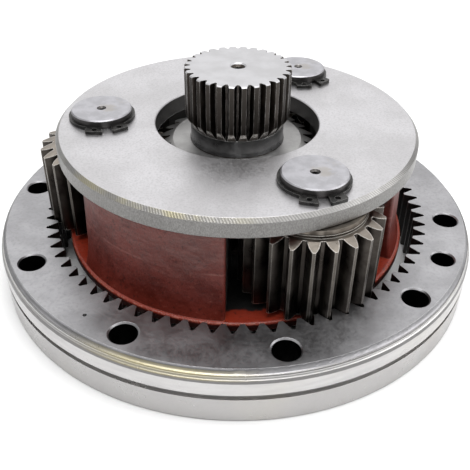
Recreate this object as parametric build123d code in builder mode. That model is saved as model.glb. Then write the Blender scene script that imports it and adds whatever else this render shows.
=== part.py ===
"""Planetary gear set of a final drive, standing on a bench.

The frame is in millimetres, +Z up. The origin is on the gear axis, at the ring gear's lower face.
The ring gear and the carrier's hub both stand on the bench, so the planets reach only the upper
end of the ring gear's teeth. The planets sit at 60, 180 and 300 degrees about +Z.
"""
from math import acos, cos, pi, radians, sin, tan
import os

from build123d import *

os.makedirs("parts", exist_ok=True)

# ---- gear train ----
MODULE = 4.0
PRESSURE_ANGLE = radians(25)
RING_TEETH, PLANET_TEETH, SUN_TEETH = 72, 22, 27
PLANET_COUNT = 3
FIRST_PLANET_ANGLE = 60.0
CENTRE_DISTANCE = MODULE * (RING_TEETH - PLANET_TEETH) / 2
ADDENDUM, DEDENDUM = MODULE, 1.25 * MODULE
BACKLASH = 0.16                                 # off every tooth, measured along the pitch circle
SUN_TIP_R, SUN_ROOT_R = 59.0, 50.4              # long teeth, because the centres are wide for the sun
ROOT_FILLET, RING_ROOT_FILLET = 1.0, 1.4

# ---- ring gear ----
RING_HEIGHT = 42.0
RING_OUTER_R = 183.0
RING_STOCK = 8.0                                # how far inside the tooth tips the blank starts
EDGE_BREAK = 0.8
SEAL_GROOVE_LOW, SEAL_GROOVE_HIGH, SEAL_GROOVE_R = 19.5, 23.5, 180.4
LAND_DROP = 8.6                                 # from the upper face down to the outer land
LEDGE_R, LEDGE_DROP, LEDGE_ROUNDING = 182.3, 6.2, 2.2
STEP_R, STEP_DROP, STEP_HEIGHT = 181.0, 3.2, 1.3
FACE_EDGE_R, FACE_ROUNDING = 178.2, 4.0
BOLT_CIRCLE_R, BOLT_COUNT, BOLT_HOLE_R = 165.0, 10, 9.25
FIRST_BOLT_ANGLE = -6.5
DOWEL_HOLE_R = 8.25                             # the one hole that lies between two bolt holes
HOLE_CHAMFER = 1.0
PUNCH_MARK_R, PUNCH_MARK_DEPTH = 1.2, 0.8
PUNCH_MARK_ANGLE = 234.6
TOOTH_END_CHAMFER = 0.3

# ---- carrier ----
PLATE_LOW, PLATE_HIGH = 103.0, 116.4
PLATE_R, PLATE_CHAMFER, PLATE_LOWER_CHAMFER = 132.0, 2.6, 0.6
PLATE_BORE_R, PLATE_BORE_CHAMFER = 60.4, 0.8
FLANGE_LOW, FLANGE_HIGH, FLANGE_R = 25.0, 33.5, 131.5
LIP_ROUNDING = 2.2
WEB_TOP_R, WEB_WAIST_R, WEB_WAIST_HEIGHT = 123.6, 125.4, 54.0
WEB_FLARE_R, WEB_FLARE_HEIGHT = 126.7, 43.5     # the middle of the flare at the web's foot
WEB_HALF_ANGLE = 27.5
WEB_INNER_R, PLANET_POCKET_R = 65.0, 54.0
WEB_CORNER_ROUNDING = 2.0
PIN_BOSS_R, PIN_BOSS_LOW = 31.0, 20.0
HUB_R, HUB_CHAMFER = 64.0, 2.0
HUB_SPLINE_TEETH, HUB_SPLINE_TIP_R, HUB_SPLINE_ROOT_R = 30, 42.5, 46.0

# ---- planet pins and what sits on them ----
PIN_R, PIN_LOW, PIN_HIGH, PIN_CHAMFER = 22.0, 13.5, 123.5, 0.8
PIN_FIT = 0.02                                  # radial clearance in the carrier
PIN_DRILL_R, PIN_SINK_R, PIN_DRILL_DEPTH = 2.1, 3.5, 12.0
CLIP_THICKNESS, CLIP_GROOVE_R, CLIP_GROOVE_PLAY = 2.5, 20.8, 0.05
CLIP_GAP = 0.1                                  # between a circlip and the face that it holds
CLIP_BODY_R, CLIP_OFFSET = 24.1, 0.5            # the body is thinner towards the lugs
CLIP_LUG_REACH, CLIP_LUG_WIDTH, CLIP_LUG_ANGLE = 29.4, 12.4, 19.5
CLIP_HOLE_R, CLIP_HOLE_PLACE_R, CLIP_OPENING = 2.0, 26.2, 7.2
CLIP_LUG_ROUNDING = 1.5
CLIP_ANGLES = (-63.0, -73.0, -82.0)             # where the opening of each circlip points
WASHER_R, WASHER_BORE_R = 36.0, 22.2
UPPER_WASHER_THICKNESS, LOWER_WASHER_THICKNESS = 3.0, 2.5
ROLLER_R, ROLLER_COUNT, ROLLER_CHAMFER = 3.0, 24, 0.4
ROLLER_CLEARANCE = 0.03                         # radial, at the pin and at the planet
ROLLER_END_GAP = 0.5

# ---- planet gears ----
PLANET_LOW, PLANET_HIGH = 37.5, 97.5            # the toothed length
PLANET_UPPER_DROP, PLANET_LOWER_DROP = 2.2, 1.2 # how far the tooth ends slope away towards the tips
PLANET_SLOPE_R = 39.6
PLANET_BOSS_R = 36.5
AXIAL_CLEARANCE = 0.3
PLANET_BORE_R = PIN_R + 2 * (ROLLER_R + ROLLER_CLEARANCE)

# ---- sun gear shaft ----
SUN_LOW, SUN_TIP_LOW, SUN_TIP_HIGH, SUN_FACE = 37.4, 38.6, 98.0, 102.6
SUN_LOWER_FACE_R, SUN_FACE_R = 52.0, 48.0
SHAFT_HIGH = 157.6
SPLINE_TEETH, SPLINE_TIP_R, SPLINE_ROOT_R = 28, 38.2, 34.0
SPLINE_FIRST_ANGLE = 7.0
SPLINE_LOW, SPLINE_RUNOUT, SPLINE_RUNOUT_REACH, SPLINE_TOP_CHAMFER = 115.5, 8.8, 5.2, 0.8
SPLINE_TIP_SHARE, SPLINE_ROOT_SHARE = 0.40, 0.84
NECK_R, NECK_LOW = 34.4, 107.0
COLLAR_R, COLLAR_HIGH, COLLAR_FILLET = 35.0, 103.4, 8.0
SHAFT_DRILL_R, SHAFT_SINK_R, SHAFT_DRILL_DEPTH = 3.6, 6.0, 14.0
SUN_WASHER_R, SUN_WASHER_BORE_R, SUN_WASHER_CLEARANCE = 57.0, 49.0, 0.2


def polar(radius, angle):
    """A point from a radius and an angle in radians."""
    return (radius * cos(angle), radius * sin(angle))


def involute(angle):
    return tan(angle) - angle


def half_angle(teeth, radius, thickness):
    """Half the angle that a tooth of this thickness at the pitch circle fills at a radius."""
    pitch_r = MODULE * teeth / 2
    base_r = pitch_r * cos(PRESSURE_ANGLE)
    local = acos(min(1.0, base_r / radius))
    return thickness / (2 * pitch_r) + involute(PRESSURE_ANGLE) - involute(local)


def gear_outline(teeth, tip_r, root_r, thickness, fillet_r, first_angle):
    """Closed outline of an external gear, with a tooth at first_angle.

    Each flank is one arc through three points of the involute.
    """
    pitch = 2 * pi / teeth
    flank_r = root_r + fillet_r
    middle_r = (flank_r + tip_r) / 2
    low = half_angle(teeth, flank_r, thickness)
    middle = half_angle(teeth, middle_r, thickness)
    high = half_angle(teeth, tip_r, thickness)
    turn = fillet_r / root_r
    bulge = 1 - cos(pi / 4)
    corner_r = root_r + fillet_r * bulge
    for tooth in range(teeth):
        centre = radians(first_angle) + tooth * pitch
        ThreePointArc(polar(tip_r, centre - high), polar(tip_r, centre), polar(tip_r, centre + high))
        for side in (-1, 1):
            ThreePointArc(
                polar(tip_r, centre + side * high),
                polar(middle_r, centre + side * middle),
                polar(flank_r, centre + side * low),
            )
            ThreePointArc(
                polar(flank_r, centre + side * low),
                polar(corner_r, centre + side * (low + turn * bulge)),
                polar(root_r, centre + side * (low + turn)),
            )
        ThreePointArc(
            polar(root_r, centre + low + turn),
            polar(root_r, centre + pitch / 2),
            polar(root_r, centre + pitch - low - turn),
        )


def bore_outline(teeth, tip_r, root_r, thickness, fillet_r):
    """Closed outline of a ring gear's toothed bore, with a tooth space at angle zero."""
    pitch = 2 * pi / teeth
    flank_r = root_r - fillet_r
    middle_r = (flank_r + tip_r) / 2
    low = half_angle(teeth, tip_r, thickness)
    middle = half_angle(teeth, middle_r, thickness)
    high = half_angle(teeth, flank_r, thickness)
    turn = fillet_r / root_r
    bulge = 1 - cos(pi / 4)
    corner_r = root_r - fillet_r * bulge
    for space in range(teeth):
        centre = space * pitch
        ThreePointArc(
            polar(root_r, centre - high + turn),
            polar(root_r, centre),
            polar(root_r, centre + high - turn),
        )
        for side in (-1, 1):
            ThreePointArc(
                polar(root_r, centre + side * (high - turn)),
                polar(corner_r, centre + side * (high - turn * bulge)),
                polar(flank_r, centre + side * high),
            )
            ThreePointArc(
                polar(flank_r, centre + side * high),
                polar(middle_r, centre + side * middle),
                polar(tip_r, centre + side * low),
            )
        ThreePointArc(
            polar(tip_r, centre + low),
            polar(tip_r, centre + pitch / 2),
            polar(tip_r, centre + pitch - low),
        )


def spline_outline(teeth, tip_r, root_r, first_angle=0):
    """Closed outline of straight-sided spline teeth, with a tooth at first_angle.

    For a splined bore, its groove bottoms are the tips of this outline.
    """
    pitch = 2 * pi / teeth
    high, low = SPLINE_TIP_SHARE * pitch / 2, SPLINE_ROOT_SHARE * pitch / 2
    for tooth in range(teeth):
        centre = radians(first_angle) + tooth * pitch
        ThreePointArc(polar(tip_r, centre - high), polar(tip_r, centre), polar(tip_r, centre + high))
        Line(polar(tip_r, centre + high), polar(root_r, centre + low))
        ThreePointArc(
            polar(root_r, centre + low),
            polar(root_r, centre + pitch / 2),
            polar(root_r, centre + pitch - low),
        )
        Line(polar(root_r, centre + pitch - low), polar(tip_r, centre + pitch - high))


def drilled_end(radius, sink_r, depth, height):
    """Half outline of a drilled centre hole with a countersink, open at a height on the Z axis."""
    Polyline(
        (0, height),
        (sink_r, height),
        (radius, height - (sink_r - radius)),
        (radius, height - depth),
        (0, height - depth - radius / 2),
        close=True,
    )


def finish(builder, label):
    """Label a finished piece and write it to its own file."""
    builder.part.label = label
    export_step(builder.part, f"parts/{label}.step")


planet_angles = [FIRST_PLANET_ANGLE + index * 360 / PLANET_COUNT for index in range(PLANET_COUNT)]
planet_places = [polar(CENTRE_DISTANCE, radians(angle)) for angle in planet_angles]
web_angles = [angle + 180 / PLANET_COUNT for angle in planet_angles]
ring_pitch_r = MODULE * RING_TEETH / 2
ring_tip_r, ring_root_r = ring_pitch_r - ADDENDUM, ring_pitch_r + DEDENDUM
planet_pitch_r = MODULE * PLANET_TEETH / 2
planet_tip_r, planet_root_r = planet_pitch_r + ADDENDUM, planet_pitch_r - DEDENDUM
sun_pitch_r = MODULE * SUN_TEETH / 2
tooth_thickness = pi * MODULE / 2

# The sun runs at a wider circle than its own pitch circle, so its teeth are thicker there.
sun_working_r = CENTRE_DISTANCE * SUN_TEETH / (SUN_TEETH + PLANET_TEETH)
planet_working_r = CENTRE_DISTANCE - sun_working_r
sun_space = 2 * planet_working_r * half_angle(PLANET_TEETH, planet_working_r, tooth_thickness)
sun_working_thickness = 2 * pi * sun_working_r / SUN_TEETH - sun_space
working_angle = acos(sun_pitch_r * cos(PRESSURE_ANGLE) / sun_working_r)
sun_thickness = 2 * sun_pitch_r * (
    sun_working_thickness / (2 * sun_working_r) + involute(working_angle) - involute(PRESSURE_ANGLE)
)
sun_first_angle = FIRST_PLANET_ANGLE + 180 / SUN_TEETH

# ---- ring gear ----
step_high = RING_HEIGHT - STEP_DROP
ledge_high = step_high - STEP_HEIGHT
with BuildPart() as ring_gear:
    with BuildSketch(Plane.XZ):
        with BuildLine():
            Polyline(
                (FACE_EDGE_R, RING_HEIGHT),
                (ring_tip_r - RING_STOCK, RING_HEIGHT),
                (ring_tip_r - RING_STOCK, 0),
                (RING_OUTER_R - EDGE_BREAK, 0),
                (RING_OUTER_R, EDGE_BREAK),
                (RING_OUTER_R, SEAL_GROOVE_LOW),
                (SEAL_GROOVE_R, SEAL_GROOVE_LOW),
                (SEAL_GROOVE_R, SEAL_GROOVE_HIGH),
                (RING_OUTER_R, SEAL_GROOVE_HIGH),
                (RING_OUTER_R, RING_HEIGHT - LAND_DROP),
                (LEDGE_R, RING_HEIGHT - LEDGE_DROP),
            )
            RadiusArc((LEDGE_R, RING_HEIGHT - LEDGE_DROP), (STEP_R, ledge_high), LEDGE_ROUNDING)
            Line((STEP_R, ledge_high), (STEP_R, step_high))
            RadiusArc((STEP_R, step_high), (FACE_EDGE_R, RING_HEIGHT), FACE_ROUNDING)
        make_face()
    revolve(axis=Axis.Z)
    with BuildSketch():
        with BuildLine():
            bore_outline(
                RING_TEETH, ring_tip_r, ring_root_r, tooth_thickness + BACKLASH, RING_ROOT_FILLET
            )
        make_face()
    extrude(amount=RING_HEIGHT, mode=Mode.SUBTRACT)
    with BuildSketch(Plane.XZ):
        for height, inwards in ((0, 1), (RING_HEIGHT, -1)):
            with BuildLine():
                Polyline(
                    (ring_tip_r - RING_STOCK, height),
                    (ring_tip_r + TOOTH_END_CHAMFER, height),
                    (ring_tip_r - RING_STOCK, height + inwards * (RING_STOCK + TOOTH_END_CHAMFER)),
                    close=True,
                )
            make_face()
    revolve(axis=Axis.Z, mode=Mode.SUBTRACT)
    with BuildSketch():
        with PolarLocations(BOLT_CIRCLE_R, BOLT_COUNT, FIRST_BOLT_ANGLE):
            Circle(BOLT_HOLE_R)
        with PolarLocations(BOLT_CIRCLE_R, 1, FIRST_BOLT_ANGLE - 180 / BOLT_COUNT):
            Circle(DOWEL_HOLE_R)
    extrude(amount=RING_HEIGHT, mode=Mode.SUBTRACT)
    hole_rims = ring_gear.edges().filter_by(GeomType.CIRCLE).filter_by(
        lambda rim: DOWEL_HOLE_R - 0.1 < rim.radius < BOLT_HOLE_R + 0.1
    )
    chamfer(hole_rims, HOLE_CHAMFER)
    punch_place = polar(BOLT_CIRCLE_R, radians(PUNCH_MARK_ANGLE))
    with Locations((*punch_place, RING_HEIGHT - PUNCH_MARK_DEPTH / 2)):
        Cone(0, PUNCH_MARK_R, PUNCH_MARK_DEPTH, mode=Mode.SUBTRACT)
finish(ring_gear, "ring_gear")

# ---- planet carrier: one casting, with its upper plate machined ----
with BuildPart() as planet_carrier:
    with BuildSketch(Plane.XY.offset(FLANGE_LOW)):
        for web_angle in web_angles:
            with BuildLine():
                web_corners = [
                    polar(2 * PLATE_R, radians(web_angle + side * WEB_HALF_ANGLE)) for side in (-1, 1)
                ]
                Polyline((0, 0), *web_corners, close=True)
            make_face()
        with Locations(*planet_places):
            Circle(PLANET_POCKET_R, mode=Mode.SUBTRACT)
        Circle(WEB_INNER_R, mode=Mode.SUBTRACT)
    extrude(amount=PLATE_LOW - FLANGE_LOW)
    with BuildSketch(Plane.XZ):
        with BuildLine():
            Polyline(
                (FLANGE_R - LIP_ROUNDING, FLANGE_HIGH),
                (FLANGE_R - LIP_ROUNDING, FLANGE_LOW),
                (0, FLANGE_LOW),
                (0, PLATE_LOW),
                (WEB_TOP_R, PLATE_LOW),
                (WEB_WAIST_R, WEB_WAIST_HEIGHT),
            )
            ThreePointArc(
                (WEB_WAIST_R, WEB_WAIST_HEIGHT),
                (WEB_FLARE_R, WEB_FLARE_HEIGHT),
                (FLANGE_R - LIP_ROUNDING, FLANGE_HIGH),
            )
        make_face()
    revolve(axis=Axis.Z, mode=Mode.INTERSECT)
    corner_edges = planet_carrier.edges().filter_by(
        lambda edge: edge.bounding_box().size.Z > PLATE_LOW - WEB_WAIST_HEIGHT - 1
        and edge.bounding_box().min.Z > FLANGE_HIGH
    )
    fillet(corner_edges, WEB_CORNER_ROUNDING)
    with BuildSketch(Plane.XZ):
        with BuildLine():
            Polyline(
                (FLANGE_R, FLANGE_HIGH - LIP_ROUNDING),
                (FLANGE_R, FLANGE_LOW + LIP_ROUNDING),
                (FLANGE_R - LIP_ROUNDING, FLANGE_LOW),
                (HUB_R, FLANGE_LOW),
                (HUB_R, HUB_CHAMFER),
                (HUB_R - HUB_CHAMFER, 0),
                (0, 0),
                (0, FLANGE_HIGH),
                (FLANGE_R - LIP_ROUNDING, FLANGE_HIGH),
            )
            RadiusArc(
                (FLANGE_R - LIP_ROUNDING, FLANGE_HIGH),
                (FLANGE_R, FLANGE_HIGH - LIP_ROUNDING),
                LIP_ROUNDING,
            )
        make_face()
        with BuildLine():
            Polyline(
                (PLATE_R - PLATE_LOWER_CHAMFER, PLATE_LOW),
                (PLATE_R, PLATE_LOW + PLATE_LOWER_CHAMFER),
                (PLATE_R, PLATE_HIGH - PLATE_CHAMFER),
                (PLATE_R - PLATE_CHAMFER, PLATE_HIGH),
                (PLATE_BORE_R + PLATE_BORE_CHAMFER, PLATE_HIGH),
                (PLATE_BORE_R, PLATE_HIGH - PLATE_BORE_CHAMFER),
                (PLATE_BORE_R, PLATE_LOW),
                close=True,
            )
        make_face()
    revolve(axis=Axis.Z)
    with BuildSketch(Plane.XY.offset(PIN_BOSS_LOW)):
        with Locations(*planet_places):
            Circle(PIN_BOSS_R)
    extrude(amount=FLANGE_LOW - PIN_BOSS_LOW)
    with BuildSketch():
        with Locations(*planet_places):
            Circle(PIN_R + PIN_FIT)
    extrude(amount=PLATE_HIGH, mode=Mode.SUBTRACT)
    with BuildSketch():
        with BuildLine():
            spline_outline(HUB_SPLINE_TEETH, HUB_SPLINE_ROOT_R, HUB_SPLINE_TIP_R)
        make_face()
    extrude(amount=FLANGE_HIGH, mode=Mode.SUBTRACT)
finish(planet_carrier, "planet_carrier")

# ---- sun gear shaft ----
with BuildPart() as sun_gear_shaft:
    with BuildSketch(Plane.XY.offset(SUN_LOW)):
        with BuildLine():
            gear_outline(
                SUN_TEETH, SUN_TIP_R, SUN_ROOT_R, sun_thickness - BACKLASH, ROOT_FILLET, sun_first_angle
            )
        make_face()
    extrude(amount=SUN_FACE - SUN_LOW)
    with BuildSketch(Plane.XZ):
        with BuildLine():
            Polyline(
                (0, SUN_LOW),
                (SUN_LOWER_FACE_R, SUN_LOW),
                (SUN_TIP_R + 1, SUN_TIP_LOW),
                (SUN_TIP_R + 1, SUN_TIP_HIGH),
                (SUN_FACE_R, SUN_FACE),
                (0, SUN_FACE),
                close=True,
            )
        make_face()
    revolve(axis=Axis.Z, mode=Mode.INTERSECT)
    with BuildSketch(Plane.XY.offset(SPLINE_LOW)):
        with BuildLine():
            spline_outline(SPLINE_TEETH, SPLINE_TIP_R, SPLINE_ROOT_R, SPLINE_FIRST_ANGLE)
        make_face()
    extrude(amount=SHAFT_HIGH - SPLINE_LOW)
    with BuildSketch(Plane.XZ):
        with BuildLine():
            Polyline(
                (SPLINE_ROOT_R, SPLINE_LOW),
                (SPLINE_ROOT_R + SPLINE_RUNOUT_REACH, SPLINE_LOW),
                (SPLINE_ROOT_R + SPLINE_RUNOUT_REACH, SPLINE_LOW + SPLINE_RUNOUT),
                close=True,
            )
        make_face()
        with BuildLine():
            Polyline(
                (SPLINE_TIP_R - SPLINE_TOP_CHAMFER, SHAFT_HIGH),
                (SPLINE_TIP_R + 1, SHAFT_HIGH - SPLINE_TOP_CHAMFER - 1),
                (SPLINE_TIP_R + 1, SHAFT_HIGH),
                close=True,
            )
        make_face()
    revolve(axis=Axis.Z, mode=Mode.SUBTRACT)
    with BuildSketch(Plane.XZ):
        with BuildLine():
            Polyline(
                (NECK_R, NECK_LOW),
                (NECK_R, SPLINE_LOW),
                (0, SPLINE_LOW),
                (0, SUN_FACE),
                (COLLAR_R, SUN_FACE),
                (COLLAR_R, COLLAR_HIGH),
            )
            RadiusArc((COLLAR_R, COLLAR_HIGH), (NECK_R, NECK_LOW), COLLAR_FILLET)
        make_face()
    revolve(axis=Axis.Z)
    with BuildSketch(Plane.XZ):
        with BuildLine():
            drilled_end(SHAFT_DRILL_R, SHAFT_SINK_R, SHAFT_DRILL_DEPTH, SHAFT_HIGH)
        make_face()
    revolve(axis=Axis.Z, mode=Mode.SUBTRACT)
finish(sun_gear_shaft, "sun_gear_shaft")

with BuildPart() as sun_thrust_washer:
    with BuildSketch(Plane.XY.offset(FLANGE_HIGH)):
        Circle(SUN_WASHER_R)
        Circle(SUN_WASHER_BORE_R, mode=Mode.SUBTRACT)
    extrude(amount=SUN_LOW - SUN_WASHER_CLEARANCE - FLANGE_HIGH)
finish(sun_thrust_washer, "sun_thrust_washer")

# ---- the three planets, each with its pin, circlips, washers and rollers ----
upper_clip_low = PLATE_HIGH + CLIP_GAP
lower_clip_low = PIN_BOSS_LOW - CLIP_GAP - CLIP_THICKNESS
upper_washer_low = PLATE_LOW - UPPER_WASHER_THICKNESS
lower_washer_high = FLANGE_HIGH + LOWER_WASHER_THICKNESS
boss_low, boss_high = lower_washer_high + AXIAL_CLEARANCE, upper_washer_low - AXIAL_CLEARANCE
for index, (angle, place) in enumerate(zip(planet_angles, planet_places)):
    number = index + 1
    pin_side = Plane(origin=(*place, 0), x_dir=(1, 0, 0), z_dir=(0, -1, 0))
    pin_axis = Axis((*place, 0), (0, 0, 1))

    with BuildPart() as planet_gear:
        with BuildSketch(Plane((*place, PLANET_LOW))):
            with BuildLine():
                gear_outline(
                    PLANET_TEETH,
                    planet_tip_r,
                    planet_root_r,
                    tooth_thickness - BACKLASH,
                    ROOT_FILLET,
                    angle,
                )
            make_face()
        extrude(amount=PLANET_HIGH - PLANET_LOW)
        with BuildSketch(pin_side):
            with BuildLine():
                Polyline(
                    (0, PLANET_LOW),
                    (PLANET_SLOPE_R, PLANET_LOW),
                    (planet_tip_r, PLANET_LOW + PLANET_LOWER_DROP),
                    (planet_tip_r + 1, PLANET_LOW + PLANET_LOWER_DROP),
                    (planet_tip_r + 1, PLANET_HIGH - PLANET_UPPER_DROP),
                    (planet_tip_r, PLANET_HIGH - PLANET_UPPER_DROP),
                    (PLANET_SLOPE_R, PLANET_HIGH),
                    (0, PLANET_HIGH),
                    close=True,
                )
            make_face()
        revolve(axis=pin_axis, mode=Mode.INTERSECT)
        with BuildSketch(Plane((*place, boss_low))):
            Circle(PLANET_BOSS_R)
        extrude(amount=boss_high - boss_low)
        with BuildSketch(Plane((*place, boss_low))):
            Circle(PLANET_BORE_R)
        extrude(amount=boss_high - boss_low, mode=Mode.SUBTRACT)
    finish(planet_gear, f"planet_gear_{number}")

    with BuildPart() as planet_pin:
        with BuildSketch(Plane((*place, PIN_LOW))):
            Circle(PIN_R)
        extrude(amount=PIN_HIGH - PIN_LOW)
        chamfer(planet_pin.edges().filter_by(GeomType.CIRCLE), PIN_CHAMFER)
        for groove_low in (upper_clip_low, lower_clip_low):
            with BuildSketch(Plane((*place, groove_low - CLIP_GROOVE_PLAY))):
                Circle(PIN_R + 1)
                Circle(CLIP_GROOVE_R, mode=Mode.SUBTRACT)
            extrude(amount=CLIP_THICKNESS + 2 * CLIP_GROOVE_PLAY, mode=Mode.SUBTRACT)
        with BuildSketch(pin_side):
            with BuildLine():
                drilled_end(PIN_DRILL_R, PIN_SINK_R, PIN_DRILL_DEPTH, PIN_HIGH)
            make_face()
        revolve(axis=pin_axis, mode=Mode.SUBTRACT)
    finish(planet_pin, f"planet_pin_{number}")

    opening_direction = (*polar(1, radians(CLIP_ANGLES[index])), 0)
    for side, clip_low in (("upper", upper_clip_low), ("lower", lower_clip_low)):
        with BuildPart() as circlip:
            with BuildSketch(Plane((*place, clip_low), x_dir=opening_direction)):
                with Locations((-CLIP_OFFSET, 0)):
                    Circle(CLIP_BODY_R)
                for turn in (-CLIP_LUG_ANGLE, CLIP_LUG_ANGLE):
                    with Locations(Rotation(0, 0, turn) * Pos(CLIP_LUG_REACH / 2, 0)):
                        RectangleRounded(CLIP_LUG_REACH, CLIP_LUG_WIDTH, CLIP_LUG_ROUNDING)
                Circle(CLIP_GROOVE_R + CLIP_GROOVE_PLAY, mode=Mode.SUBTRACT)
                with Locations((CLIP_LUG_REACH / 2, 0)):
                    Rectangle(CLIP_LUG_REACH, CLIP_OPENING, mode=Mode.SUBTRACT)
                for turn in (-CLIP_LUG_ANGLE, CLIP_LUG_ANGLE):
                    with Locations(Rotation(0, 0, turn) * Pos(CLIP_HOLE_PLACE_R, 0)):
                        Circle(CLIP_HOLE_R, mode=Mode.SUBTRACT)
            extrude(amount=CLIP_THICKNESS)
        finish(circlip, f"{side}_circlip_{number}")

    for side, washer_low, thickness in (
        ("upper", upper_washer_low, UPPER_WASHER_THICKNESS),
        ("lower", FLANGE_HIGH, LOWER_WASHER_THICKNESS),
    ):
        with BuildPart() as thrust_washer:
            with BuildSketch(Plane((*place, washer_low))):
                Circle(WASHER_R)
                Circle(WASHER_BORE_R, mode=Mode.SUBTRACT)
            extrude(amount=thickness)
        finish(thrust_washer, f"{side}_thrust_washer_{number}")

    with BuildPart() as needle_rollers:
        with BuildSketch(Plane((*place, lower_washer_high + ROLLER_END_GAP))):
            with PolarLocations(PIN_R + ROLLER_R + ROLLER_CLEARANCE, ROLLER_COUNT):
                Circle(ROLLER_R)
        extrude(amount=upper_washer_low - lower_washer_high - 2 * ROLLER_END_GAP)
        chamfer(needle_rollers.edges().filter_by(GeomType.CIRCLE), ROLLER_CHAMFER)
    finish(needle_rollers, f"needle_rollers_{number}")
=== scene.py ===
"""Planetary gear set on a pale studio floor: finishes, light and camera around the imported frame.

Everything is in metres, in the frame's own axes: +Z is the gear axis and the floor is at zero.
"""
from math import radians

import bmesh
import bpy
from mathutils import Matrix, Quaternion, Vector


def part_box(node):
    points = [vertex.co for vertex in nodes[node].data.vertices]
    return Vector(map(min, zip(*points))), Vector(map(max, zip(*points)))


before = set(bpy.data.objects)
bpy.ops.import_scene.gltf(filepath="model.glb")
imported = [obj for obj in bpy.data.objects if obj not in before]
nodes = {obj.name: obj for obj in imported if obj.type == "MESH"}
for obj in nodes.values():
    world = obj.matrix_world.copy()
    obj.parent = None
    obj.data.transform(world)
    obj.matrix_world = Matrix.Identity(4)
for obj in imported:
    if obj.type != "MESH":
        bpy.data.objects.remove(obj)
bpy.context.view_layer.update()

PLANETS = (1, 2, 3)
FLOOR_RADIUS = 6.0
CAMERA_PLACE = Vector((0.0024, -0.4481, 0.3355))
CAMERA_AIM = Vector((-0.0005, 0.0, 0.0101))
CAMERA_ROLL = radians(0.81)
CAMERA_LENS = 50.8

# places on the parts: radii are from the gear axis, heights are above the floor
RING_ROOT_RADIUS, RING_EDGE_RADIUS = 0.1492, 0.1795
BOLT_BAND = (0.152, 0.1775)
PUNCH_MARK = (-0.0956, -0.1345, 0.042)
RING_LAND_TOP = 0.0335
LEDGE, LEDGE_WALL, STEP_WALL = (0.0358, 0.0375), (0.0336, 0.0359), (0.0374, 0.0390)

PLATE_UNDERSIDE, PLATE_EDGE_RADIUS = 0.1032, 0.12
PLATE_BORE_BAND = (0.055, 0.065)
FLANGE_SIDE_RADIUS, FLANGE_LIP_RADIUS = 0.128, 0.1293
PRIMER_END_RADII = (0.1165, 0.1195)                  # the radii between which the primer ends
SCUFF_LINE = (0.068, 0.0695)
HUB_END, HUB_SPLINE_RADIUS = 0.0003, 0.0464

SUN_SHOULDER, SPLINE_FOOT, SHAFT_TOP = 0.1033, 0.1153, 0.1576
SPLINE_RUNOUT = (0.1188, 0.1222)
SPLINE_TIP_RADIUS = 0.0379

PLANET_MIDDLE, PLANET_TIP_RADIUS = 0.0675, 0.0478
PIN_HOLE_RADIUS = 0.0034


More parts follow.
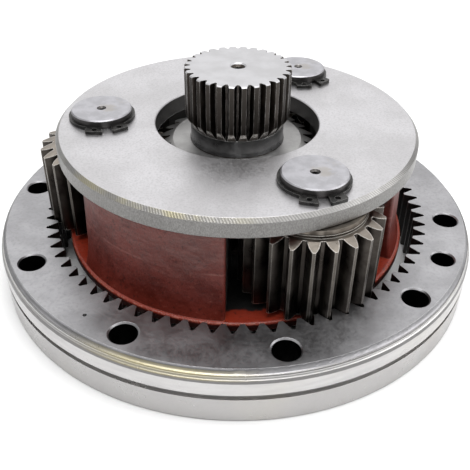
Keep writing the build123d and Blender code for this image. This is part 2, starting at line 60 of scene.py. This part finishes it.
class Surface:
    """A procedural material, built node by node. Its textures lie in object space, in metres."""

    def __init__(self, name, centre=(0.0, 0.0, 0.0)):
        self.material = bpy.data.materials.new(name)
        self.material.use_nodes = True
        self.tree = self.material.node_tree
        self.shader = self.tree.nodes["Principled BSDF"]
        place = self.add("ShaderNodeTexCoord").outputs["Object"]
        self.place = self.add(
            "ShaderNodeVectorMath", {0: place, 1: centre}, operation="SUBTRACT"
        ).outputs[0]
        self.normal = self.add("ShaderNodeNewGeometry").outputs["Normal"]
        self.x, self.y, self.z = self.add("ShaderNodeSeparateXYZ", {0: self.place}).outputs
        self.up = self.add("ShaderNodeSeparateXYZ", {0: self.normal}).outputs[2]
        flat = self.add("ShaderNodeCombineXYZ", {0: self.x, 1: self.y}).outputs[0]
        self.radius = self.add(
            "ShaderNodeVectorMath", {0: flat}, operation="LENGTH"
        ).outputs["Value"]

    def add(self, kind, sockets=None, **settings):
        node = self.tree.nodes.new(kind)
        for name, value in settings.items():
            setattr(node, name, value)
        for key, value in (sockets or {}).items():
            self.join(node.inputs[key], value)
        return node

    def join(self, socket, value):
        if isinstance(value, bpy.types.NodeSocket):
            self.tree.links.new(value, socket)
        else:
            socket.default_value = value

    def set(self, **values):
        """Sets the shader's own sockets, such as roughness=0.3 or base_color=socket."""
        for name, value in values.items():
            self.join(self.shader.inputs[name.replace("_", " ").title()], value)

    def math(self, operation, first, second=0.0):
        return self.add("ShaderNodeMath", {0: first, 1: second}, operation=operation).outputs[0]

    def span(self, value, low, high, start=0.0, end=1.0):
        """Maps low..high to start..end, smoothly and without going beyond."""
        node = self.add(
            "ShaderNodeMapRange", {0: value, 1: low, 2: high, 3: start, 4: end},
            interpolation_type="SMOOTHSTEP",
        )
        return node.outputs[0]

    def noise(self, scale, detail=3.0, roughness=0.5, stretch=(1.0, 1.0, 1.0)):
        where = self.add(
            "ShaderNodeVectorMath", {0: self.place, 1: stretch}, operation="MULTIPLY"
        ).outputs[0]
        node = self.add(
            "ShaderNodeTexNoise",
            {"Vector": where, "Scale": scale, "Detail": detail, "Roughness": roughness},
        )
        return node.outputs["Fac"]

    def rings(self, scale, detail=3.0):
        """Noise that changes only with the distance from the axis, like the marks of a lathe tool."""
        where = self.add("ShaderNodeCombineXYZ", {0: self.radius, 1: self.math("MULTIPLY", self.z, 0.3)})
        node = self.add(
            "ShaderNodeTexNoise", {"Vector": where.outputs[0], "Scale": scale, "Detail": detail}
        )
        return node.outputs["Fac"]

    def mix(self, first, second, share, blend="MIX"):
        """Colours may be sockets or (r, g, b)."""
        first, second = [
            (*value, 1.0) if isinstance(value, tuple) else value for value in (first, second)
        ]
        node = self.add("ShaderNodeMix", data_type="RGBA", blend_type=blend)
        self.join(node.inputs[0], share)
        self.join(node.inputs[6], first)
        self.join(node.inputs[7], second)
        return node.outputs[2]

    def between(self, value, low, high):
        inside = self.math("GREATER_THAN", value, low)
        return self.math("MULTIPLY", inside, self.math("LESS_THAN", value, high))

    def choose(self, first, second, share):
        node = self.add("ShaderNodeMix", {0: share, 2: first, 3: second}, data_type="FLOAT")
        return node.outputs[0]

    def distance(self, point):
        return self.add(
            "ShaderNodeVectorMath", {0: self.place, 1: point}, operation="DISTANCE"
        ).outputs["Value"]

    def around(self):
        """The direction of turning marks, around the node's upright axis."""
        return self.add("ShaderNodeTangent", direction_type="RADIAL", axis="Z").outputs[0]

    def crevice_shade(self, color, reach, depth):
        """Darkens a colour as painted shade in corners and crevices, where the ambient occlusion is low.
        """
        open_air = self.add("ShaderNodeAmbientOcclusion", {"Distance": reach}, samples=6).outputs["AO"]
        shade = self.span(open_air, 0.0, 0.75, 1.0 - depth, 1.0)
        grey = self.add("ShaderNodeCombineColor", {0: shade, 1: shade, 2: shade}).outputs[0]
        return self.mix(color, grey, 1.0, "MULTIPLY")

    def edges(self, width, low=0.02, high=0.25):
        """One along sharp edges, zero away from them."""
        bevel = self.add("ShaderNodeBevel", {"Radius": width}, samples=6)
        alike = self.add(
            "ShaderNodeVectorMath", {0: bevel.outputs[0], 1: self.normal}, operation="DOT_PRODUCT"
        ).outputs["Value"]
        return self.span(self.math("SUBTRACT", 1.0, alike), low, high)

    def bump(self, *layers, soften=0.0003):
        """Stacks (height, depth in metres) layers over slightly softened edges."""
        normal = self.add("ShaderNodeBevel", {"Radius": soften}, samples=4).outputs[0]
        for height, depth in layers:
            normal = self.add(
                "ShaderNodeBump", {"Height": height, "Distance": depth, "Normal": normal}
            ).outputs["Normal"]
        self.set(normal=normal)


def dress(node, material):
    """Gives a CAD node its finish, in place of the plain one that it came with."""
    mesh = nodes[node].data
    mesh.materials.clear()
    mesh.materials.append(material)


def node_axis(node):
    """The point on the floor under a node's middle."""
    low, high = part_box(node)
    return ((low.x + high.x) / 2, (low.y + high.y) / 2, 0.0)


def ring_finish():
    """Ground and turned steel with a thin film of oil, with painted shade in the holes, the punch mark and
    the toothed bore.
    """
    s = Surface("ring_ground_steel")
    mottle = s.noise(28, 5, 0.62)
    fine = s.noise(420, 4, 0.6)
    upright = s.span(s.math("ABSOLUTE", s.up), 0.55, 0.3)
    outside = s.math("GREATER_THAN", s.radius, RING_EDGE_RADIUS)
    color = s.mix((0.295, 0.292, 0.302), (0.385, 0.381, 0.394), s.span(mottle, 0.35, 0.65))
    color = s.mix(color, (0.25, 0.25, 0.248), s.math("MULTIPLY", s.span(fine, 0.45, 0.75), 0.4))
    below = s.span(s.z, RING_LAND_TOP + 0.0002, RING_LAND_TOP - 0.0002)
    lands = s.math("MULTIPLY", outside, below)
    grain = s.noise(35, 4, 0.6, (1, 1, 6))
    turned = s.mix((0.53, 0.52, 0.52), (0.61, 0.60, 0.595), s.span(grain, 0.3, 0.7))
    turned = s.mix(turned, (0.47, 0.46, 0.455), s.span(s.z, 0.024, 0.019))
    color = s.mix(color, turned, lands)

    # the two rounded steps catch the light, the lower one, the ledge, with a painted highlight; the walls
    # beside them get painted shade
    ledge_highlight = s.math("MULTIPLY", outside, s.between(s.z, *LEDGE))
    color = s.mix(color, (0.62, 0.61, 0.60), ledge_highlight)
    wall = s.math("MAXIMUM", s.between(s.z, *STEP_WALL), s.between(s.z, *LEDGE_WALL))
    wall = s.math("MULTIPLY", wall, outside)
    color = s.mix(color, (0.17, 0.165, 0.16), s.math("MULTIPLY", wall, 0.8))

    # oil has dried to a yellow tint on the rounded steps, most of it on one side
    stained = s.span(s.distance((-0.045, -0.176, 0.04)), 0.075, 0.015)
    steps = s.math("GREATER_THAN", s.radius, RING_EDGE_RADIUS - 0.0007)
    steps = s.math("MULTIPLY", steps, s.span(s.z, RING_LAND_TOP + 0.001, RING_LAND_TOP + 0.0025))
    stained = s.math("MULTIPLY", stained, steps)
    color = s.mix(color, (0.55, 0.46, 0.17), s.math("MULTIPLY", stained, 0.38))
    oil = s.math("MULTIPLY", s.span(s.noise(11, 3, 0.55), 0.50, 0.70), lands)
    color = s.mix(color, (0.56, 0.53, 0.44), s.math("MULTIPLY", oil, 0.2))

    # painted highlight along the sharp edges, partly bare worn metal
    edge_glint_and_wear = s.edges(0.0006)
    color = s.mix(color, (0.88, 0.88, 0.87), s.math("MULTIPLY", edge_glint_and_wear, 0.6))
    # painted shade: the bolt hole walls and the punch mark are painted near black
    hole_shade = s.math("MULTIPLY", upright, s.between(s.radius, *BOLT_BAND))
    hole_shade = s.math("MAXIMUM", hole_shade, s.math("LESS_THAN", s.distance(PUNCH_MARK), 0.00135))
    color = s.mix(color, (0.012, 0.012, 0.012), s.math("MULTIPLY", hole_shade, 0.95))
    # painted shade: the flanks of the toothed bore are painted near black
    bore = s.math("MULTIPLY", upright, s.math("LESS_THAN", s.radius, RING_ROOT_RADIUS))
    color = s.mix(color, (0.030, 0.028, 0.026), s.math("MULTIPLY", bore, 0.93))

    rough = s.math("ADD", s.span(mottle, 0.3, 0.7, 0.36, 0.48), s.span(fine, 0.3, 0.7, -0.04, 0.06))
    rough = s.math("SUBTRACT", rough, s.math("MULTIPLY", outside, 0.08))
    # painted shade in the crevices, from the ambient occlusion
    s.set(base_color=s.crevice_shade(color, 0.004, 0.5), metallic=1.0, roughness=rough)
    s.set(anisotropic=0.5, tangent=s.around())
    s.bump((s.rings(900), 0.00002), (fine, 0.00003))
    return s.material


def carrier_finish():
    """A casting in red oxide primer, near black inside; its plate, hub bore and hub end are bare."""
    s = Surface("carrier_casting")
    bore = s.math("LESS_THAN", s.radius, HUB_SPLINE_RADIUS)
    hub = s.math("MAXIMUM", s.math("LESS_THAN", s.z, HUB_END), bore)
    machined = s.math("MAXIMUM", s.math("GREATER_THAN", s.z, PLATE_UNDERSIDE), hub)
    edge_glint_and_wear = s.edges(0.0012)
    turn = s.math("ARCTAN2", s.y, s.x)

    # bare steel: a fine ground top, a milled chamfer and a rougher wall
    mottle = s.noise(22, 5, 0.6)
    fine = s.noise(750, 3, 0.65)
    steel = s.mix((0.49, 0.48, 0.49), (0.575, 0.565, 0.58), s.span(mottle, 0.35, 0.65))
    steel = s.mix(steel, (0.36, 0.36, 0.36), s.math("MULTIPLY", s.span(fine, 0.42, 0.75), 0.45))
    outer = s.math("GREATER_THAN", s.radius, PLATE_EDGE_RADIUS)
    side = s.span(s.up, 0.4, 0.1)
    wall = s.math("MULTIPLY", side, outer)
    slope = s.math("MULTIPLY", s.between(s.up, 0.3, 0.95), outer)
    streaks = s.noise(1500, 3, 0.6, (1.0, 1.0, 0.5))
    grained = s.mix((0.18, 0.176, 0.17), (0.275, 0.27, 0.262), s.span(streaks, 0.3, 0.7))
    steel = s.mix(steel, grained, wall)
    # painted shade on the wall of the plate's centre bore
    bore_wall_shade = s.math("MULTIPLY", side, s.between(s.radius, *PLATE_BORE_BAND))
    steel = s.mix(steel, (0.10, 0.098, 0.095), s.math("MULTIPLY", bore_wall_shade, 0.9))
    phase = s.math("ADD", s.math("MULTIPLY", turn, 420.0), s.math("MULTIPLY", s.z, 2600.0))
    hatch = s.span(s.math("SINE", phase), -0.7, 0.9)
    patchy = s.math("MULTIPLY", hatch, s.span(s.noise(45, 4, 0.6), 0.35, 0.65, 0.15, 1.0))
    cut = s.mix((0.23, 0.225, 0.215), (0.46, 0.45, 0.43), patchy)
    steel = s.mix(steel, cut, s.math("MULTIPLY", slope, 0.8))
    stained = s.span(s.distance((-0.06, -0.117, 0.115)), 0.095, 0.02)
    stained = s.math("MULTIPLY", stained, slope)
    stained = s.math("MULTIPLY", stained, s.span(s.noise(60, 3, 0.5), 0.35, 0.65))
    steel = s.mix(steel, (0.50, 0.45, 0.26), s.math("MULTIPLY", stained, 0.6))
    # painted highlight along the sharp edges of the bare steel
    steel = s.mix(steel, (0.90, 0.90, 0.89), s.math("MULTIPLY", edge_glint_and_wear, 0.4))

    # primer: paler, greyer streaks towards the top of the webs, brighter orange on the flange, and a
    # painted highlight on its lip
    blotch = s.noise(32, 5, 0.6)
    scuffs = s.noise(55, 6, 0.7, (1.0, 1.0, 5.0))
    specks = s.noise(380, 4, 0.65)
    paint = s.mix((0.085, 0.013, 0.009), (0.165, 0.026, 0.018), s.span(blotch, 0.3, 0.7))
    pale_upper_streaks = s.math("MULTIPLY", s.span(scuffs, 0.38, 0.68, 0.2, 1.0), s.span(s.z, 0.045, 0.095, 0.0, 1.0))
    paint = s.mix(paint, (0.22, 0.085, 0.07), s.math("MULTIPLY", pale_upper_streaks, 0.6))
    scuff = s.math("MULTIPLY", s.between(s.z, *SCUFF_LINE), s.span(blotch, 0.42, 0.55))
    paint = s.mix(paint, (0.30, 0.13, 0.11), s.math("MULTIPLY", scuff, 0.35))
    # brighter orange on the upward faces low on the flange: partly cleaner primer, partly painted light on
    # the faces turned up
    low = s.span(s.z, 0.052, 0.036)
    paint = s.mix(paint, (0.29, 0.028, 0.010), s.math("MULTIPLY", low, s.span(s.up, 0.15, 0.8, 0.1, 0.8)))
    # painted highlight along the rounded lip of the flange, broken by specks
    lip_highlight = s.math("GREATER_THAN", s.radius, FLANGE_LIP_RADIUS)
    lip_highlight = s.math("MULTIPLY", lip_highlight, s.between(s.up, 0.45, 0.85))
    paint = s.mix(paint, (0.52, 0.17, 0.12), s.math("MULTIPLY", lip_highlight, s.span(specks, 0.44, 0.58, 0.0, 0.7)))
    paint = s.mix(paint, (0.030, 0.008, 0.006), s.math("MULTIPLY", s.span(specks, 0.54, 0.68), 0.6))
    paint = s.mix(paint, (0.34, 0.12, 0.085), s.math("MULTIPLY", s.span(specks, 0.40, 0.32), 0.2))
    # lighter primer along the edges: partly scuffed paint, partly painted highlight
    paint = s.mix(paint, (0.50, 0.15, 0.10), s.math("MULTIPLY", edge_glint_and_wear, s.span(scuffs, 0.35, 0.6, 0.1, 0.6)))

    # inside a ragged radius the primer gives way to a near-black surface, and its upward faces there, the
    # floors under the planets, are painted black as shade
    ragged = s.math("ADD", s.radius, s.span(s.noise(90, 3, 0.6), 0.3, 0.7, -0.002, 0.002))
    inner_dark_with_floor_shade = s.mix((0.036, 0.036, 0.035), (0.090, 0.088, 0.084), blotch)
    inner_dark_with_floor_shade = s.mix(inner_dark_with_floor_shade, (0.008, 0.008, 0.008), s.span(s.up, 0.3, 0.7, 0.0, 0.95))
    coat = s.mix(inner_dark_with_floor_shade, paint, s.span(ragged, *PRIMER_END_RADII))
    # painted shade on the flange's lower side, deep in the gap to the ring gear
    flange_side_shade = s.math("GREATER_THAN", s.radius, FLANGE_SIDE_RADIUS)
    flange_side_shade = s.math("MULTIPLY", flange_side_shade, s.span(s.z, 0.0325, 0.0305))
    coat = s.mix(coat, (0.022, 0.008, 0.007), s.math("MULTIPLY", flange_side_shade, 0.85))

    # painted shade in the crevices, from the ambient occlusion
    s.set(base_color=s.crevice_shade(s.mix(coat, steel, machined), 0.006, 0.5), metallic=machined)
    steel_rough = s.math("ADD", s.span(mottle, 0.3, 0.7, 0.36, 0.44), s.span(fine, 0.3, 0.7, -0.05, 0.08))
    rough = s.choose(s.span(blotch, 0.3, 0.7, 0.28, 0.48), steel_rough, machined)
    s.set(roughness=rough)
    painted = s.math("SUBTRACT", 1.0, machined)
    cast = s.math("MULTIPLY", s.noise(180, 5, 0.6), painted)
    dents = s.math("MULTIPLY", s.noise(40, 3, 0.5), painted)
    grooves = s.math("MULTIPLY", hatch, slope)
    s.bump((cast, 0.0005), (dents, 0.0016), (grooves, 0.00006), (fine, 0.00005), soften=0.0007)
    return s.material


def sun_finish():
    """A blackened gear shaft, bright on its end faces, with rubbed tooth edges brightened further by a
    painted highlight and painted reflections on the lower ends of its spline teeth.
    """
    s = Surface("sun_shaft_steel")
    mottle = s.noise(45, 5, 0.6)
    fine = s.noise(600, 4, 0.6)
    edge_glint_and_wear = s.edges(0.0008, 0.01, 0.12)
    facing_up = s.span(s.up, 0.3, 0.6)
    top = s.math("GREATER_THAN", s.z, SHAFT_TOP - 0.0009)
    shoulder = s.math("LESS_THAN", s.z, SUN_SHOULDER)
    bright = s.mix((0.47, 0.465, 0.475), (0.56, 0.555, 0.57), s.span(mottle, 0.35, 0.65))
    satin = s.mix((0.27, 0.265, 0.262), (0.39, 0.385, 0.38), s.span(mottle, 0.35, 0.65))
    black = s.mix((0.036, 0.030, 0.026), (0.075, 0.065, 0.057), s.span(mottle, 0.35, 0.65))
    above = s.math("GREATER_THAN", s.z, SPLINE_FOOT)
    tips = s.math("MULTIPLY", s.math("GREATER_THAN", s.radius, SPLINE_TIP_RADIUS), above)
    color = s.mix(black, (0.070, 0.062, 0.055), tips)
    neck = s.between(s.z, SUN_SHOULDER, SPLINE_FOOT + 0.0003)
    grey = s.mix((0.21, 0.21, 0.215), (0.36, 0.36, 0.365), s.span(mottle, 0.35, 0.65))
    color = s.mix(color, grey, neck)
    # painted highlight along the spline's edges, in patches, partly rubbed bare metal
    glint_share = s.span(s.noise(150, 3, 0.6), 0.35, 0.6, 0.15, 0.75)
    worn_edge_glint = s.math("MULTIPLY", s.math("MULTIPLY", edge_glint_and_wear, above), glint_share)
    color = s.mix(color, (0.62, 0.60, 0.57), worn_edge_glint)

    # painted reflection on the sloping lower ends of the spline teeth
    runout_glint = s.math("MULTIPLY", s.span(s.up, -0.2, -0.35), s.between(s.z, *SPLINE_RUNOUT))
    runout_glint = s.math("MULTIPLY", runout_glint, s.span(s.noise(420, 2, 0.5), 0.42, 0.56, 0.1, 1.0))
    color = s.mix(color, (0.55, 0.53, 0.50), s.math("MULTIPLY", runout_glint, 0.8))
    color = s.mix(color, satin, s.math("MULTIPLY", facing_up, shoulder))
    color = s.mix(color, bright, s.math("MULTIPLY", facing_up, top))
    painted_glints = s.math("MAXIMUM", runout_glint, worn_edge_glint)
    # painted shade in the crevices, from the ambient occlusion
    s.set(base_color=s.crevice_shade(color, 0.003, 0.5), metallic=s.choose(1.0, 0.7, painted_glints))
    rough = s.span(mottle, 0.3, 0.7, 0.26, 0.38)
    s.set(roughness=s.math("ADD", rough, s.math("MULTIPLY", facing_up, 0.08)))
    s.bump((s.rings(1400), 0.00002), (fine, 0.00003))
    return s.material


def planet_finish(number):
    """Case-hardened gear steel, brownish from tempering oil, with worn tooth edges brightened by a painted
    highlight, strongest towards the tooth ends.
    """
    s = Surface(f"planet_{number}_steel", node_axis(f"planet_gear_{number}"))
    mottle = s.noise(60, 5, 0.62)
    fine = s.noise(500, 4, 0.6)
    drawn = s.noise(220, 3, 0.5, (1.0, 1.0, 0.06))
    edge_glint_and_wear = s.edges(0.0010, 0.01, 0.12)
    ends = s.span(s.math("ABSOLUTE", s.up), 0.6, 0.9)
    flank = s.mix((0.036, 0.031, 0.027), (0.090, 0.080, 0.071), s.span(mottle, 0.3, 0.7))
    flank = s.mix(flank, (0.04, 0.034, 0.029), s.math("MULTIPLY", s.span(drawn, 0.5, 0.75), 0.5))
    tips = s.span(s.radius, PLANET_TIP_RADIUS - 0.0004, PLANET_TIP_RADIUS)
    tip = s.mix((0.085, 0.076, 0.067), (0.15, 0.136, 0.120), s.span(mottle, 0.35, 0.65))
    flank = s.mix(flank, tip, s.math("MULTIPLY", tips, 0.85))
    face = s.mix((0.22, 0.196, 0.170), (0.33, 0.294, 0.255), s.span(mottle, 0.35, 0.65))
    color = s.mix(flank, face, ends)
    # painted highlight along the tooth edges near the ends, partly worn bare metal
    from_middle = s.math("ABSOLUTE", s.math("SUBTRACT", s.z, PLANET_MIDDLE))
    glint_share = s.span(from_middle, 0.0255, 0.029, 0.3, 0.9)
    worn_edge_glint = s.math("MULTIPLY", s.math("MULTIPLY", edge_glint_and_wear, glint_share), s.span(fine, 0.3, 0.5, 0.5, 1.0))
    color = s.mix(color, (0.80, 0.77, 0.72), worn_edge_glint)
    # painted shade in the crevices, from the ambient occlusion
    s.set(base_color=s.crevice_shade(color, 0.004, 0.55), metallic=s.choose(1.0, 0.6, worn_edge_glint))
    rough = s.span(mottle, 0.3, 0.7, 0.28, 0.42)
    s.set(roughness=s.math("ADD", rough, s.span(fine, 0.3, 0.7, -0.03, 0.05)))
    s.bump((drawn, 0.00004), (fine, 0.00003))
    return s.material


def pin_finish(number):
    """A hardened pin: its end face ground and lightly stained, its side dark and its centre hole painted
    dark as shade.
    """
    s = Surface(f"pin_{number}_steel", node_axis(f"planet_pin_{number}"))
    mottle = s.noise(120, 5, 0.62)
    stain = s.noise(70, 4, 0.6)
    fine = s.noise(800, 4, 0.6)
    edge_glint_and_wear = s.edges(0.0005)
    color = s.mix((0.36, 0.356, 0.375), (0.46, 0.455, 0.48), s.span(mottle, 0.35, 0.65))
    color = s.mix(color, (0.36, 0.33, 0.29), s.math("MULTIPLY", s.span(stain, 0.54, 0.68), 0.5))
    # the side is dark; the centre hole is painted dark as shade
    dark_side_and_hole_shade = s.math("MAXIMUM", s.span(s.up, 0.5, 0.3), s.math("LESS_THAN", s.radius, PIN_HOLE_RADIUS))
    color = s.mix(color, (0.075, 0.07, 0.066), s.math("MULTIPLY", dark_side_and_hole_shade, 0.9))
    # painted highlight along the pin's edges
    color = s.mix(color, (0.78, 0.78, 0.78), s.math("MULTIPLY", edge_glint_and_wear, 0.35))
    s.set(base_color=color, metallic=1.0, roughness=s.span(mottle, 0.3, 0.7, 0.34, 0.48))
    s.bump((s.rings(2200), 0.00002), (fine, 0.00003))
    return s.material


def circlip_finish():
    """Phosphated spring steel, near black, its rubbed edges brightened further by a painted highlight."""
    s = Surface("circlip_spring_steel")
    mottle = s.noise(300, 5, 0.6)
    edge_glint_and_wear = s.edges(0.0004)
    color = s.mix((0.018, 0.018, 0.018), (0.060, 0.058, 0.056), s.span(mottle, 0.35, 0.65))
    # painted highlight along the edges, partly rubbed bare metal
    color = s.mix(color, (0.55, 0.54, 0.52), s.math("MULTIPLY", edge_glint_and_wear, 0.6))
    s.set(base_color=color, metallic=0.8, roughness=s.span(mottle, 0.3, 0.7, 0.30, 0.5))
    s.bump((mottle, 0.00006))
    return s.material


def washer_finish():
    """Hardened thrust washer steel with a dull oil film."""
    s = Surface("washer_steel")
    mottle = s.noise(90, 5, 0.6)
    fine = s.noise(700, 3, 0.6)
    edge_glint_and_wear = s.edges(0.0004)
    color = s.mix((0.15, 0.134, 0.116), (0.27, 0.24, 0.207), s.span(mottle, 0.35, 0.65))
    # painted highlight along the washer's edges
    color = s.mix(color, (0.50, 0.45, 0.39), s.math("MULTIPLY", edge_glint_and_wear, 0.25))
    # painted shade in the crevices, from the ambient occlusion
    s.set(base_color=s.crevice_shade(color, 0.004, 0.5), metallic=1.0)
    s.set(roughness=s.span(mottle, 0.3, 0.7, 0.28, 0.45))
    s.bump((fine, 0.00004))
    return s.material


def roller_finish():
    """Polished bearing steel with a light oil film."""
    s = Surface("roller_steel")
    film = s.noise(150, 4, 0.6)
    fine = s.noise(900, 3, 0.5, (1.0, 1.0, 0.1))
    color = s.mix((0.62, 0.62, 0.63), (0.78, 0.77, 0.75), s.span(film, 0.35, 0.65))
    s.set(base_color=color, metallic=1.0, roughness=s.span(film, 0.3, 0.7, 0.12, 0.24))
    s.bump((fine, 0.00001))
    return s.material


dress("ring_gear", ring_finish())
dress("planet_carrier", carrier_finish())
dress("sun_gear_shaft", sun_finish())
spring, washer, roller = circlip_finish(), washer_finish(), roller_finish()
dress("sun_thrust_washer", washer)
for number in PLANETS:
    dress(f"planet_gear_{number}", planet_finish(number))
    dress(f"planet_pin_{number}", pin_finish(number))
    dress(f"needle_rollers_{number}", roller)
    for side in ("upper", "lower"):
        dress(f"{side}_circlip_{number}", spring)
        dress(f"{side}_thrust_washer_{number}", washer)


def make_floor():
    """A wide pale disc under the ring gear, with a faint painted grain."""
    mesh = bpy.data.meshes.new("floor")
    shape = bmesh.new()
    bmesh.ops.create_circle(shape, cap_ends=True, radius=FLOOR_RADIUS, segments=96)
    shape.to_mesh(mesh)
    shape.free()
    floor = bpy.data.objects.new("floor", mesh)
    bpy.context.scene.collection.objects.link(floor)
    s = Surface("floor_paint")
    grain = s.noise(40, 4, 0.5)
    s.set(base_color=s.mix((0.86, 0.86, 0.86), (0.89, 0.89, 0.89), grain), roughness=0.8)
    s.bump((grain, 0.0001))
    mesh.materials.append(s.material)


def add_light(name, place, aim, size, watts, color=(1.0, 1.0, 1.0)):
    lamp = bpy.data.lights.new(name, "AREA")
    lamp.shape = "RECTANGLE"
    lamp.size, lamp.size_y = size
    lamp.energy = watts
    lamp.color = color
    light = bpy.data.objects.new(name, lamp)
    light.location = place
    light.rotation_mode = "QUATERNION"
    light.rotation_quaternion = (Vector(aim) - Vector(place)).to_track_quat("-Z", "Y")
    bpy.context.scene.collection.objects.link(light)


def make_world():
    """A studio that is dark at eye level on the near side, and brighter overhead and behind."""
    world = bpy.data.worlds.new("studio")
    world.use_nodes = True
    tree = world.node_tree

    def add(kind, values):
        node = tree.nodes.new(kind)
        for key, value in values.items():
            if isinstance(value, bpy.types.NodeSocket):
                tree.links.new(value, node.inputs[key])
            else:
                node.inputs[key].default_value = value
        return node

    way = add("ShaderNodeTexCoord", {}).outputs["Generated"]
    _, back, up = add("ShaderNodeSeparateXYZ", {0: way}).outputs
    overhead = add("ShaderNodeMapRange", {0: up, 1: 0.05, 2: 0.55, 3: 0.06, 4: 0.72}).outputs[0]
    behind = add("ShaderNodeMapRange", {0: back, 1: -0.1, 2: 0.6, 3: 0.0, 4: 0.25}).outputs[0]
    total = add("ShaderNodeMath", {0: overhead, 1: behind}).outputs[0]
    tree.links.new(total, tree.nodes["Background"].inputs["Strength"])
    tree.nodes["Background"].inputs["Color"].default_value = (1.0, 1.0, 1.0, 1.0)
    bpy.context.scene.world = world


def make_camera():
    lens = bpy.data.cameras.new("camera")
    lens.lens = CAMERA_LENS
    lens.clip_end = 20
    camera = bpy.data.objects.new("camera", lens)
    camera.location = CAMERA_PLACE
    camera.rotation_mode = "QUATERNION"
    camera.rotation_quaternion = (CAMERA_AIM - CAMERA_PLACE).to_track_quat("-Z", "Y") @ Quaternion(
        (0, 0, 1), CAMERA_ROLL
    )
    bpy.context.scene.collection.objects.link(camera)
    bpy.context.scene.camera = camera


make_floor()
make_world()
add_light("overhead", (0.0, -0.3, 2.2), (0.0, 0.0, 0.0), (1.6, 1.4), 36)
add_light("back_panel", (0.0, 2.0, 1.3), (0.0, 0.0, 0.05), (4.0, 2.2), 14)
add_light("right_box", (1.2, -0.2, 0.7), (0.0, 0.0, 0.08), (1.0, 0.9), 6)
make_camera()
bpy.context.scene.view_settings.view_transform = "Standard"
